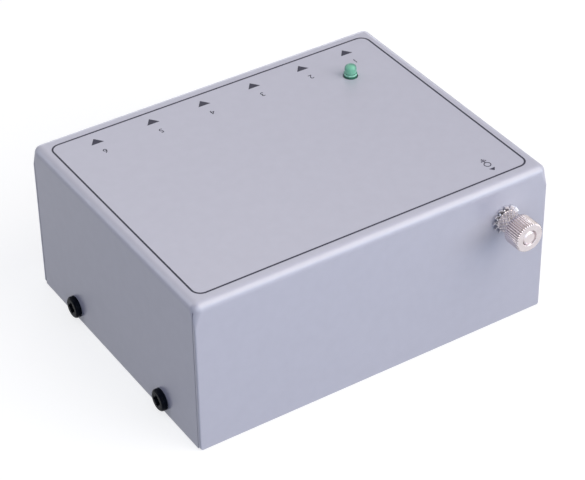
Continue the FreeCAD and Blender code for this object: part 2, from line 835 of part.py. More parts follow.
def knurled_nut():
    """A thumb nut: a plain neck against the washer, a short cone, and a knurled rim."""
    neck = nut_neck_diameter / 2
    rim = nut_diameter / 2
    cone_start = nut_neck_length
    rim_start = cone_start + nut_cone_length
    end = rim_start + nut_rim_length
    profile = [(0, 0), (neck, 0), (neck, cone_start), (rim, rim_start), (rim, end - nut_chamfer),
               (rim - nut_chamfer, end), (0, end)]
    base = Vector(ground_x, washer_face, ground_height)
    blank = turned(profile, base, axis_y)
    corners = []
    for number in range(2 * knurl_teeth):
        radius = rim if number % 2 == 0 else rim - knurl_depth
        angle = math.pi * number / knurl_teeth
        corners.append(Vector(radius * math.sin(angle), 0, radius * math.cos(angle)))
    ribbed = prism([base + corner for corner in corners], axis_y * end)
    bore = stud_diameter / 2 + thread_gap
    mouth = nut_countersink / 2
    hole = [(0, -1), (bore, -1), (bore, end - 0.5), (mouth, end - 0.3), (mouth, end + 1),
            (0, end + 1)]
    return blank.common(ribbed).cut(turned(hole, base, axis_y))


# Parts on the board

def op_amp(x, y):
    """An eight-lead amplifier chip."""
    under = board_top + op_amp_lift
    body = block(x, y, under, op_amp_width, op_amp_length, op_amp_height)
    body = rounded(body, 0.3, lambda d, p: p.z > under + op_amp_height - 0.01)
    notch = rod(Vector(x, y - op_amp_length / 2, under + 0.75 * op_amp_height), axis_z, 1.8,
                op_amp_height)
    pieces = [body.cut(notch)]
    row = op_amp_row_spacing / 2
    reach = row - op_amp_width / 2 + small_lead
    shoulder = under + op_amp_height / 3
    for side in (-1, 1):
        for number in range(4):
            lead_y = y + op_amp_lead_pitch * (number - 1.5)
            pieces.append(lead(x + side * row, lead_y, shoulder + small_lead, small_lead))
            middle = x + side * (row + op_amp_width / 2) / 2
            pieces.append(block(middle, lead_y, shoulder, reach, 1.2, small_lead))
    return joined(pieces)


def electrolytic(x, y, diameter, height, pitch):
    """A can capacitor: bevelled top, rolled groove near the board and two leads."""
    radius = diameter / 2
    low = can_lift
    profile = [(0, low), (radius, low), (radius, low + 1.2), (radius - 0.3, low + 1.6),
               (radius, low + 2.0), (radius, height - 0.4), (radius - 0.4, height), (0, height)]
    can = turned(profile, Vector(x, y, board_top), axis_z)
    legs = [lead(x + side * pitch / 2, y, board_top + low + small_lead, small_lead)
            for side in (-1, 1)]
    return joined([can] + legs)


def film_capacitor(x, y):
    body = rounded(block(x, y, board_top, film_width, film_depth, film_height), 0.4,
                   lambda d, p: p.z > board_top + 1)
    legs = [lead(x + side * film_lead_pitch / 2, y, board_top + small_lead, small_lead)
            for side in (-1, 1)]
    return joined([body] + legs)


def axial_part(x, y, diameter, length, pitch):
    """A part on bent leads, lying along Y."""
    lift = board_top + diameter / 2 + can_lift
    body = rod(Vector(x, y - length / 2, lift), axis_y, diameter, length)
    wire = rod(Vector(x, y - pitch / 2, lift), axis_y, small_lead, pitch)
    legs = [lead(x, y + side * pitch / 2, lift + small_lead / 2, small_lead) for side in (-1, 1)]
    return joined([body, wire] + legs)


def resistors():
    start = phono_x[0] - resistor_overrun
    count = int((phono_x[3] - start + 2 * resistor_overrun) / resistor_step) + 1
    places = [(start + resistor_step * number, far_row_y) for number in range(count)]
    places += [(start + resistor_step * number, near_row_y) for number in range(0, count, 2)]
    return Part.makeCompound([
        axial_part(x, y, resistor_diameter, resistor_length, resistor_lead_pitch)
        for x, y in places])


def regulator(x, y):
    """A small three-lead regulator with one flat side."""
    under = board_top + regulator_lift
    body = rod(Vector(x, y, under), axis_z, regulator_diameter, regulator_height)
    reach = regulator_diameter
    body = body.cut(box((x - reach, x + reach), (y + regulator_flat, y + reach),
                        (under - 1, under + regulator_height + 1)))
    legs = [lead(x + regulator_lead_pitch * number, y, under + small_lead, regulator_lead)
            for number in (-1, 0, 1)]
    return joined([body] + legs)


# Rows of parts, from the sockets to the rear edge of the board
half_resistor = (resistor_lead_pitch + small_lead) / 2
coupling_y = socket_back_face + phono_block_depth + part_gap + coupling_diameter / 2
film_y = coupling_y + coupling_diameter / 2 + part_gap + film_depth / 2
near_row_y = film_y + film_depth / 2 + part_gap + half_resistor
op_amp_y = near_row_y + half_resistor + part_gap + op_amp_length / 2
far_row_y = op_amp_y + op_amp_length / 2 + part_gap + half_resistor
supply_y = lamp_y + spacer_diameter / 2 + part_gap + supply_diameter / 2
diode_y = supply_y + 1.5 * supply_diameter + 2 * part_gap + (diode_lead_pitch + small_lead) / 2
regulator_x = dc_x + diode_diameter / 2 + part_gap + regulator_diameter / 2


def circuit_board():
    """The board, drilled for every lead and for the two rear screws."""
    body = box((-board_half_length, board_half_length), (board_front, board_rear),
               (board_bottom, board_top))
    body = rounded(body, board_corner, lambda d, p: abs(d.z) > 0.9)
    drills = [rod(Vector(x, y, board_bottom - 1), axis_z, diameter, board_thickness + 2)
              for x, y, diameter in board_holes]
    drills += [rod(base, axis_z, board_screw_diameter + 2 * hole_gap, standoff_length + 5)
               for base in standoff_bases()]
    return body.cut(drills)


def build():
    os.makedirs("parts", exist_ok=True)
    save("top_cover", top_cover())
    save("bottom_plate", bottom_plate())
    save("case_screws", case_screws())
    save("board_standoffs", board_standoffs())
    save("board_screws", board_screws())
    save("plate_screws", plate_screws())
    save("block_screws", block_screws())
    save("input_socket_block", phono_block(0))
    save("output_socket_block", phono_block(2))
    for name, x in zip(("input_right", "input_left", "output_right", "output_left"), phono_x):
        save(name + "_shell", phono_shell(x))
        save(name + "_insulator", phono_insulator(x))
        save(name + "_contact", phono_contact(x))
    save("jack_body", jack_body())
    save("jack_bushing", jack_bushing())
    save("jack_washer", jack_washer())
    save("jack_nut", jack_nut())
    save("jack_tip_spring", jack_tip_spring())
    save("jack_ring_spring", jack_ring_spring())
    save("dc_socket_body", dc_socket_body())
    save("dc_pin_contact", dc_pin_contact())
    save("dc_sleeve_spring", dc_sleeve_spring())
    save("power_lamp", power_lamp())
    save("lamp_leads", lamp_leads())
    save("lamp_spacer", lamp_spacer())
    save("ground_stud", ground_stud())
    save("ground_lug", ground_lug())
    save("ground_wire", ground_wire())
    save("star_washer", star_washer())
    save("knurled_nut", knurled_nut())
    for number, x in enumerate(block_screw_places(), 1):
        save("op_amp_" + str(number), op_amp(x, op_amp_y))
    for number, x in enumerate(phono_x, 1):
        save("coupling_capacitor_" + str(number),
             electrolytic(x, coupling_y, coupling_diameter, coupling_height, coupling_lead_pitch))
        save("film_capacitor_" + str(number), film_capacitor(x, film_y))
    for number in (1, 2):
        y = supply_y + (number - 1) * (supply_diameter + part_gap)
        save("supply_capacitor_" + str(number),
             electrolytic(dc_x, y, supply_diameter, supply_height, supply_lead_pitch))
    save("resistors", resistors())
    save("supply_diode", axial_part(dc_x, diode_y, diode_diameter, diode_length, diode_lead_pitch))
    save("regulator", regulator(regulator_x, diode_y))
    save("circuit_board", circuit_board())


build()
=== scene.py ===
import json
import math

import bpy
import numpy as np
from mathutils import Matrix, Vector


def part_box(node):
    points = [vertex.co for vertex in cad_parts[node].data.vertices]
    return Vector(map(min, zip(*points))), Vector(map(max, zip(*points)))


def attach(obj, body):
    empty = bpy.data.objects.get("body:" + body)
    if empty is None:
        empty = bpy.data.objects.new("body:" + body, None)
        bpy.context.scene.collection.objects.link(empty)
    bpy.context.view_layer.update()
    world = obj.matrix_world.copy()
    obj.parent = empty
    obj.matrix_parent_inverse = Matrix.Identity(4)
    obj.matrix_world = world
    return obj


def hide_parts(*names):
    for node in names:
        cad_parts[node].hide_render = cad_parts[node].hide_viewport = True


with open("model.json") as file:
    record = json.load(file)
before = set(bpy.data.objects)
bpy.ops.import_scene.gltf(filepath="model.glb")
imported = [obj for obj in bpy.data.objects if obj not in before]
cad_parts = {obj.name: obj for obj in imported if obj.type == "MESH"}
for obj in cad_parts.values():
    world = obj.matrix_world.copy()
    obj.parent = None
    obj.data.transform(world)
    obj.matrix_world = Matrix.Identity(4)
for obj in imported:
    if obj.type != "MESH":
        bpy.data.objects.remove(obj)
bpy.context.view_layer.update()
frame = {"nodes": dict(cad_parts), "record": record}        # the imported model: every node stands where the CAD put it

print("frame loaded,", len(frame["nodes"]), "nodes")

mm = 0.001


# small helpers

def toLinear(hexColour):
    # sRGB hex to the linear colour that shaders use
    parts = [int(hexColour[i:i + 2], 16) / 255 for i in (1, 3, 5)]
    return tuple(c / 12.92 if c <= 0.04045 else ((c + 0.055) / 1.055) ** 2.4 for c in parts) + (1.0,)


def addNode(tree, kind, settings=None, feeds=None):
    # settings are socket values (by name or number) or node properties, feeds are linked outputs
    node = tree.nodes.new(kind)
    for key, value in (settings or {}).items():
        if isinstance(key, int) or key in node.inputs:
            node.inputs[key].default_value = value
        else:
            setattr(node, key, value)
    for key, output in (feeds or {}).items():
        tree.links.new(output, node.inputs[key])
    return node


def newMaterial(name, values):
    material = bpy.data.materials.new(name)
    material.use_nodes = True
    tree = material.node_tree
    shader = tree.nodes["Principled BSDF"]
    for socket, value in values.items():
        shader.inputs[socket].default_value = value
    place = addNode(tree, "ShaderNodeTexCoord").outputs["Object"]
    return material, tree, shader, place


def surfaceFinish(look):
    # the base of most finishes: two near colours in soft patches, a roughness that drifts with
    # them, and a fine grain raised by a bump; sizes are in millimetres
    material, tree, shader, place = newMaterial(look["name"], look.get("values", {}))
    patches = addNode(tree, "ShaderNodeTexNoise",
                      {"Scale": 1 / (look["patchSize"] * mm), "Detail": 3.0}, {"Vector": place})
    stretch = addNode(tree, "ShaderNodeMapping", {"Scale": look.get("stretch", (1, 1, 1))},
                      {"Vector": place})
    grain = addNode(tree, "ShaderNodeTexNoise",
                    {"Scale": 1 / (look["grainSize"] * mm), "Detail": 2.0},
                    {"Vector": stretch.outputs[0]})
    share = addNode(tree, "ShaderNodeMix", {0: look.get("speckle", 0.2)},
                    {2: patches.outputs[0], 3: grain.outputs[0]})
    spread = addNode(tree, "ShaderNodeMapRange", {"From Min": 0.3, "From Max": 0.7},
                     {"Value": share.outputs[0]})
    colour = addNode(tree, "ShaderNodeMix",
                     {"data_type": "RGBA", 6: toLinear(look["colour"]),
                      7: toLinear(look["secondColour"])},
                     {0: spread.outputs[0]})
    rough = addNode(tree, "ShaderNodeMapRange",
                    {"From Min": 0.3, "From Max": 0.7, "To Min": look["roughness"][0],
                     "To Max": look["roughness"][1]}, {"Value": patches.outputs[0]})
    bump = addNode(tree, "ShaderNodeBump",
                   {"Strength": 1.0, "Distance": look["grainDepth"] * mm}, {"Height": grain.outputs[0]})
    tree.links.new(colour.outputs[2], shader.inputs["Base Color"])
    tree.links.new(rough.outputs[0], shader.inputs["Roughness"])
    tree.links.new(bump.outputs[0], shader.inputs["Normal"])
    return material, tree, shader, place, bump


def addZone(tree, shader, mask, colour, metallic, roughness):
    # where the mask is 1 the surface has this colour, metalness and roughness instead
    wanted = {"Base Color": toLinear(colour), "Metallic": metallic, "Roughness": roughness}
    for socket, value in wanted.items():
        target = shader.inputs[socket]
        inColour = socket == "Base Color"
        if not inColour and not target.links and target.default_value == value:
            continue
        before, after, out = (6, 7, 2) if inColour else (2, 3, 0)
        mix = addNode(tree, "ShaderNodeMix",
                      {"data_type": "RGBA" if inColour else "FLOAT", after: value}, {0: mask})
        if target.links:
            tree.links.new(target.links[0].from_socket, mix.inputs[before])
        else:
            mix.inputs[before].default_value = target.default_value
        tree.links.new(mix.outputs[out], target)


def placeInMm(tree, place, centre):
    # x, y and z of the surface from a centre, in millimetres
    moved = addNode(tree, "ShaderNodeVectorMath",
                    {"operation": "SUBTRACT", 1: tuple(centre)}, {0: place})
    scaled = addNode(tree, "ShaderNodeVectorMath", {"operation": "SCALE", "Scale": 1000.0},
                     {0: moved.outputs[0]})
    return addNode(tree, "ShaderNodeSeparateXYZ", {}, {0: scaled.outputs[0]}).outputs


def nodeCentre(name):
    low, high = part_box(name)
    return (low + high) / 2


def shellVolume(points, faces):
    # signed volume of a closed mesh, as the sum of its faces' fans seen from the origin
    total = 0.0
    for face in faces:
        a = points[face[:, 0]]
        for i in range(1, face.shape[1] - 1):
            across = np.cross(points[face[:, i]], points[face[:, i + 1]])
            total += np.einsum("ij,ij->i", a, across).sum()
    return total / 6


def meshPiece(name, points, faces, smooth=True):
    # faces is a list of whole index arrays, one array for each number of corners
    if shellVolume(points - points.mean(axis=0), faces) < 0:
        faces = [face[:, ::-1] for face in faces]
    mesh = bpy.data.meshes.new(name)
    mesh.from_pydata(points.tolist(), [], [row for face in faces for row in face.tolist()])
    mesh.validate()
    mesh.polygons.foreach_set("use_smooth", np.full(len(mesh.polygons), smooth))
    mesh.update()
    piece = bpy.data.objects.new(name, mesh)
    bpy.context.scene.collection.objects.link(piece)
    return piece


def gridFaces(rows, columns, closedRows):
    # quads between neighbouring rings of a grid whose columns close on themselves
    r = np.arange(rows if closedRows else rows - 1)[:, None]
    c = np.arange(columns)[None, :]
    nextRow = (r + 1) % rows
    nextColumn = (c + 1) % columns
    quads = np.stack([r * columns + c, r * columns + nextColumn,
                      nextRow * columns + nextColumn, nextRow * columns + c], axis=-1)
    return quads.reshape(-1, 4)


def turnedPiece(name, radius, along, centre, axis, closedRows, sharpAngle=30):
    # radius[row, column] and along[row, column] are carried round the axis; a surface whose rows
    # don't close has a point at each end
    rows, columns = radius.shape
    angle = np.linspace(0, 2 * math.pi, columns, endpoint=False)[None, :]
    first, second = radius * np.cos(angle), radius * np.sin(angle)
    along = np.broadcast_to(along, radius.shape)
    if axis == "y":
        points = np.stack([first, along, second], axis=-1).reshape(-1, 3)
    else:
        points = np.stack([first, second, along], axis=-1).reshape(-1, 3)
    faces = [gridFaces(rows, columns, closedRows)]
    if not closedRows:
        ends = np.array([points[:columns].mean(axis=0), points[-columns:].mean(axis=0)])
        c = np.arange(columns)
        start = np.stack([np.full(columns, len(points)), (c + 1) % columns, c], axis=-1)
        last = (rows - 1) * columns
        stop = np.stack([np.full(columns, len(points) + 1), last + c, last + (c + 1) % columns],
                        axis=-1)
        points = np.vstack([points, ends])
        faces.append(np.vstack([start, stop]))
    piece = meshPiece(name, points + np.array(centre), faces)
    sharpen(piece, sharpAngle)
    return piece


def sharpen(piece, degrees):
    # edges steeper than this stay crisp, the rest is shaded smooth
    mesh = piece.data
    mesh.set_sharp_from_angle(angle=math.radians(degrees))


def slabPiece(name, outlines, low, high):
    # flat closed slabs: each outline is (outer points, inner points or None)
    points, quads, caps = [], [], {}
    base = 0
    for outer, inner in outlines:
        n = len(outer)
        i = np.arange(n)
        j = (i + 1) % n
        layers = [(outer, low), (outer, high)]
        if inner is not None:
            layers += [(inner, low), (inner, high)]
        for loop, z in layers:
            points.append(np.column_stack([loop, np.full(n, z)]))
        quads.append(base + np.stack([i, j, n + j, n + i], axis=-1))
        if inner is None:
            caps.setdefault(n, []).append(base + i[::-1][None, :])
            caps.setdefault(n, []).append(base + n + i[None, :])
        else:
            quads.append(base + np.stack([2 * n + j, 2 * n + i, 3 * n + i, 3 * n + j], axis=-1))
            quads.append(base + np.stack([n + i, n + j, 3 * n + j, 3 * n + i], axis=-1))
            quads.append(base + np.stack([j, i, 2 * n + i, 2 * n + j], axis=-1))
        base += n * len(layers)
    faces = [np.vstack(quads)] + [np.vstack(rows) for rows in caps.values()]
    return meshPiece(name, np.vstack(points), faces, smooth=False)


def dress(piece, material):
    piece.data.materials.clear()
    piece.data.materials.append(material)


# finishes

# powder coat: a satin paint baked on sheet steel, whose orange peel is a soft dimple every
# half millimetre; the eye sees a faintly violet grey that glows along the bends. Its roughness hardly
# drifts, because a wider drift shows as dark flecks
powderCoat = surfaceFinish({
    "name": "powderCoatLightGrey", "colour": "#C2C0CC", "secondColour": "#BFBDC9", "patchSize": 3,
    "roughness": (0.285, 0.295), "grainSize": 0.5, "grainDepth": 0.0015, "speckle": 0.15,
    "values": {"IOR": 1.5, "Specular IOR Level": 1.0}})[0]

# black zinc on steel screws: nearly black, a little blue, with hardly any sheen
blackZinc = surfaceFinish({
    "name": "blackZincSteel", "colour": "#080A10", "secondColour": "#161A24", "patchSize": 0.8,
    "roughness": (0.20, 0.32), "grainSize": 0.4, "grainDepth": 0.05, "speckle": 0.5,
    "values": {"Specular IOR Level": 0.03}})[0]

# bright zinc on steel: bluish white metal with a slightly cloudy surface
brightZinc = surfaceFinish({
    "name": "brightZincSteel", "colour": "#DCDADE", "secondColour": "#CCCACF", "patchSize": 1.2,
    "roughness": (0.34, 0.46), "grainSize": 0.3, "grainDepth": 0.002, "values": {"Metallic": 1.0}})[0]

# bright nickel on turned brass: a warm white metal, with lathe lines too fine to show, drawn
# as coarse as a tenth of a millimetre
nickelPlate = surfaceFinish({
    "name": "nickelPlatedBrass", "colour": "#DED6D8", "secondColour": "#D1C8CA", "patchSize": 2.0,
    "roughness": (0.18, 0.26), "grainSize": 0.12, "grainDepth": 0.0015, "stretch": (1, 0.3, 1),
    "values": {"Metallic": 1.0}})[0]

# tinned phosphor bronze: a soft grey-gold spring metal
tinnedBronze = surfaceFinish({
    "name": "tinnedPhosphorBronze", "colour": "#C9C2B2", "secondColour": "#B8AE98", "patchSize": 1.0,
    "roughness": (0.26, 0.40), "grainSize": 0.2, "grainDepth": 0.002, "stretch": (1, 0.2, 1),
    "values": {"Metallic": 1.0}})[0]

# black PBT moulding: dull black with the fine spark-eroded grain of its mould
blackPbt = surfaceFinish({
    "name": "blackMouldedPbt", "colour": "#1B1C1E", "secondColour": "#222326", "patchSize": 3,
    "roughness": (0.44, 0.56), "grainSize": 0.22, "grainDepth": 0.006, "values": {"IOR": 1.55}})[0]

# red and white ABS insulators: smooth and a little waxy
redAbs = surfaceFinish({
    "name": "redMouldedAbs", "colour": "#B3181B", "secondColour": "#A31418", "patchSize": 2,
    "roughness": (0.26, 0.36), "grainSize": 0.4, "grainDepth": 0.002, "values": {"IOR": 1.53}})[0]
whiteAbs = surfaceFinish({
    "name": "whiteMouldedAbs", "colour": "#E9E6DC", "secondColour": "#E1DED2", "patchSize": 2,
    "roughness": (0.28, 0.38), "grainSize": 0.4, "grainDepth": 0.002, "values": {"IOR": 1.53}})[0]

lensLook = {
    "name": "greenTintedEpoxy", "colour": "#86C8AC", "secondColour": "#7EC0A4", "patchSize": 1.4,
    "roughness": (0.34, 0.40), "grainSize": 0.8, "grainDepth": 0.002,
    # the faint emission is painted light: a glow for the light the lens holds inside
    "values": {"IOR": 1.5, "Specular IOR Level": 0.35, "Transmission Weight": 0.10,
               "Subsurface Weight": 0.6, "Subsurface Scale": 0.0012,
               "Subsurface Radius": (0.6, 1.0, 0.8), "Emission Color": toLinear("#8CD0B0"),
               "Emission Strength": 0.07},
    # painted shade: the rim colour and the ring at the ledge; painted light: the flange colour
    # heights are above the foot of the lens
    "rimShadeColour": "#5E8480", "rimFacing": (0.12, 0.52), "domeFrom": 1.5, "domeTo": 2.3,
    "rimOnBarrel": 0.3, "ledgeShadeColour": "#5A947E", "lineHeight": 0.68, "lineHalf": 0.10,
    "flangeLitColour": "#A8E8CC", "flangeTop": 0.58, "flangeShare": 0.6}


def greenEpoxy(look):
    # green tinted epoxy: a cast lens that holds light inside and looks mint green in white light, helped by a faint
    # painted glow; its rim carries painted shade, greyer where the eye looks along it, a thin ring of painted shade
    # parts barrel and flange, and the flange band is painted lighter
    material, tree, shader, place = surfaceFinish(look)[:4]
    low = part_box("power_lamp")[0]
    # painted shade: the rim is drawn greyer where the eye looks along it, more on the dome than on the barrel
    edge = addNode(tree, "ShaderNodeLayerWeight", {"Blend": 0.35})
    rim = addNode(tree, "ShaderNodeMapRange",
                  {"From Min": look["rimFacing"][0], "From Max": look["rimFacing"][1]},
                  {"Value": edge.outputs["Facing"]})
    z = placeInMm(tree, place, (0, 0, low.z))[2]
    onDome = addNode(tree, "ShaderNodeMapRange",
                     {"From Min": look["domeFrom"], "From Max": look["domeTo"],
                      "To Min": look["rimOnBarrel"]}, {"Value": z})
    grey = addNode(tree, "ShaderNodeMath", {"operation": "MULTIPLY"},
                   {0: rim.outputs[0], 1: onDome.outputs[0]})
    addZone(tree, shader, grey.outputs[0], look["rimShadeColour"], 0.0, 0.36)
    # painted shade: a thin darker ring at the ledge between barrel and flange
    line = addNode(tree, "ShaderNodeMath",
                   {"operation": "COMPARE", 1: look["lineHeight"], 2: look["lineHalf"]}, {0: z})
    addZone(tree, shader, line.outputs[0], look["ledgeShadeColour"], 0.0, 0.2)
    # painted light: the flange band is drawn paler green, for the light the flange lets out
    band = addNode(tree, "ShaderNodeMath", {"operation": "LESS_THAN", 1: look["flangeTop"]}, {0: z})
    part = addNode(tree, "ShaderNodeMath", {"operation": "MULTIPLY", 1: look["flangeShare"]},
                   {0: band.outputs[0]})
    addZone(tree, shader, part.outputs[0], look["flangeLitColour"], 0.0, 0.4)
    return material


lensEpoxy = greenEpoxy(lensLook)

# screen-printed ink: a flat dark violet grey with the faint pinholes of the mesh
screenInk = surfaceFinish({
    "name": "screenPrintedInk", "colour": "#242235", "secondColour": "#2E2C40", "patchSize": 0.7,
    "roughness": (0.50, 0.60), "grainSize": 0.25, "grainDepth": 0.002, "values": {"IOR": 1.5}})[0]

# PVC wire insulation: soft, slightly shiny green
pvcInsulation = surfaceFinish({
    "name": "greenPvcInsulation", "colour": "#2E7D3A", "secondColour": "#2A7235", "patchSize": 2,
    "roughness": (0.34, 0.44), "grainSize": 0.4, "grainDepth": 0.003, "values": {"IOR": 1.53}})[0]

tinnedWire = {"colour": "#C6C8CA", "metallic": 1.0, "roughness": 0.3}


def threadedNickel(name, centre, pitch, depth, outerRadius):
    # bright nickel on a cut thread: the ridge climbs one pitch with each turn round the Y axis,
    # and only the outside of the thread shows it
    look = {"name": name, "colour": "#E3DADB", "secondColour": "#D6CCCD", "patchSize": 2.0,
            "roughness": (0.24, 0.34), "grainSize": 0.12, "grainDepth": 0.0015,
            "values": {"Metallic": 1.0}}
    material, tree, shader, place, bump = surfaceFinish(look)
    x, y, z = placeInMm(tree, place, centre)
    turn = addNode(tree, "ShaderNodeMath", {"operation": "ARCTAN2"}, {0: z, 1: x})
    share = addNode(tree, "ShaderNodeMath", {"operation": "DIVIDE", 1: 2 * math.pi},
                    {0: turn.outputs[0]})
    climb = addNode(tree, "ShaderNodeMath", {"operation": "MULTIPLY_ADD", 1: 1 / pitch},
                    {0: y, 2: share.outputs[0]})
    ridge = addNode(tree, "ShaderNodeMath", {"operation": "PINGPONG", 1: 0.5}, {0: climb.outputs[0]})
    flat = addNode(tree, "ShaderNodeCombineXYZ", {}, {0: x, 1: z})
    radius = addNode(tree, "ShaderNodeVectorMath", {"operation": "LENGTH"}, {0: flat.outputs[0]})
    outside = addNode(tree, "ShaderNodeMath", {"operation": "COMPARE", 1: outerRadius, 2: 0.05},
                      {0: radius.outputs["Value"]})
    height = addNode(tree, "ShaderNodeMath", {"operation": "MULTIPLY"},
                     {0: ridge.outputs[0], 1: outside.outputs[0]})
    thread = addNode(tree, "ShaderNodeBump", {"Strength": 1.0, "Distance": 2 * depth * mm},
                     {"Height": height.outputs[0], "Normal": bump.outputs[0]})
    tree.links.new(thread.outputs[0], shader.inputs["Normal"])
    return material


sleeveLook = {
    "colour": "#1D2433", "secondColour": "#232B3C", "patchSize": 2.5, "roughness": (0.20, 0.30),
    "grainSize": 0.8, "grainDepth": 0.004, "values": {"IOR": 1.53},
    "stripe": "#9AA4B4", "stripeFrom": 0.82,       # as a share of the can's radius
    "dashSpacing": 3.0, "dashLength": 0.9, "dashHalf": 0.2,
    "aluminium": "#C4C6C8", "sleeveOverTop": 0.8, "score": "#6E7072", "scoreHalf": 0.12}


def shrinkSleeve(name, look):
    # a can capacitor: dark blue sleeve with a pale stripe on the negative side, bare aluminium
    # top scored with a cross, tinned leads
    material, tree, shader, place = surfaceFinish(dict(look, name="shrinkSleeve_" + name))[:4]
    low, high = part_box(name)
    middle = nodeCentre(name)
    x, y, z = placeInMm(tree, place, (middle.x, middle.y, 0))
    half = (high.x - low.x) / 2 / mm
    flat = addNode(tree, "ShaderNodeCombineXYZ", {}, {0: x, 1: y})
    radius = addNode(tree, "ShaderNodeVectorMath", {"operation": "LENGTH"}, {0: flat.outputs[0]})
    stripe = addNode(tree, "ShaderNodeMath",
                     {"operation": "LESS_THAN", 1: -look["stripeFrom"] * half}, {0: x})
    addZone(tree, shader, stripe.outputs[0], look["stripe"], 0.0, 0.3)
    dash = addNode(tree, "ShaderNodeMath",
                   {"operation": "PINGPONG", 1: look["dashSpacing"] / 2}, {0: z})
    short = addNode(tree, "ShaderNodeMath",
                    {"operation": "LESS_THAN", 1: look["dashLength"] / 2}, {0: dash.outputs[0]})
    narrow = addNode(tree, "ShaderNodeMath",
                     {"operation": "COMPARE", 1: 0.0, 2: look["dashHalf"] * half}, {0: y})
    both = addNode(tree, "ShaderNodeMath", {"operation": "MULTIPLY"},
                   {0: short.outputs[0], 1: narrow.outputs[0]})
    left = addNode(tree, "ShaderNodeMath", {"operation": "MULTIPLY"},
                   {0: both.outputs[0], 1: stripe.outputs[0]})
    addZone(tree, shader, left.outputs[0], look["colour"], 0.0, 0.3)
    top = addNode(tree, "ShaderNodeMath", {"operation": "GREATER_THAN", 1: high.z / mm - 0.05}, {0: z})
    inside = addNode(tree, "ShaderNodeMath",
                     {"operation": "LESS_THAN", 1: half - look["sleeveOverTop"]},
                     {0: radius.outputs["Value"]})
    bare = addNode(tree, "ShaderNodeMath", {"operation": "MULTIPLY"},
                   {0: top.outputs[0], 1: inside.outputs[0]})
    addZone(tree, shader, bare.outputs[0], look["aluminium"], 1.0, 0.32)
    for across in (x, y):
        line = addNode(tree, "ShaderNodeMath",
                       {"operation": "COMPARE", 1: 0.0, 2: look["scoreHalf"]}, {0: across})
        scored = addNode(tree, "ShaderNodeMath", {"operation": "MULTIPLY"},
                         {0: line.outputs[0], 1: bare.outputs[0]})
        addZone(tree, shader, scored.outputs[0], look["score"], 1.0, 0.5)
    legs = addNode(tree, "ShaderNodeMath", {"operation": "LESS_THAN", 1: boardTop + 0.2}, {0: z})
    addZone(tree, shader, legs.outputs[0], **tinnedWire)
    return material


def dippedEpoxy(name):
    # a film capacitor: glossy dark red epoxy with soft waves, and tinned leads
    material, tree, shader, place = surfaceFinish({
        "name": "dippedEpoxy_" + name, "colour": "#8C2A20", "secondColour": "#7C241B", "patchSize": 2,
        "roughness": (0.14, 0.24), "grainSize": 1.6, "grainDepth": 0.02, "values": {"IOR": 1.55}})[:4]
    z = placeInMm(tree, place, (0, 0, 0))[2]
    legs = addNode(tree, "ShaderNodeMath", {"operation": "LESS_THAN", 1: boardTop}, {0: z})
    addZone(tree, shader, legs.outputs[0], **tinnedWire)
    return material


resistorLook = {
    "name": "resistorLacquerBlue", "colour": "#7FA9BE", "secondColour": "#76A0B6", "patchSize": 1,
    "roughness": (0.22, 0.32), "grainSize": 0.5, "grainDepth": 0.006, "values": {"IOR": 1.53},
    "rowFromEnd": 4.25, "bodyHalf": 3.02, "ringHalf": 0.28,
    "rings": ((-2.2, "#5A3420"), (-1.1, "#1A1A1A"), (-0.1, "#1A1A1A"), (0.9, "#A02318"),
              (2.2, "#5A3420"))}


def lacqueredResistors(name, look):
    # pale blue lacquer over a ceramic rod, with five colour rings, on tinned wires; the rows lie
    # mirrored about the middle of the group
    material, tree, shader, place = surfaceFinish(look)[:4]
    low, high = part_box(name)
    y = placeInMm(tree, place, nodeCentre(name))[1]
    halfSpan = (high.y - low.y) / 2 / mm - look["rowFromEnd"]
    away = addNode(tree, "ShaderNodeMath", {"operation": "ABSOLUTE"}, {0: y})
    own = addNode(tree, "ShaderNodeMath", {"operation": "SUBTRACT", 1: halfSpan}, {0: away.outputs[0]})
    for at, ring in look["rings"]:
        band = addNode(tree, "ShaderNodeMath", {"operation": "COMPARE", 1: at, 2: look["ringHalf"]},
                       {0: own.outputs[0]})
        addZone(tree, shader, band.outputs[0], ring, 0.0, 0.3)
    far = addNode(tree, "ShaderNodeMath", {"operation": "ABSOLUTE"}, {0: own.outputs[0]})
    wires = addNode(tree, "ShaderNodeMath", {"operation": "GREATER_THAN", 1: look["bodyHalf"]},
                    {0: far.outputs[0]})
    addZone(tree, shader, wires.outputs[0], **tinnedWire)
    return material


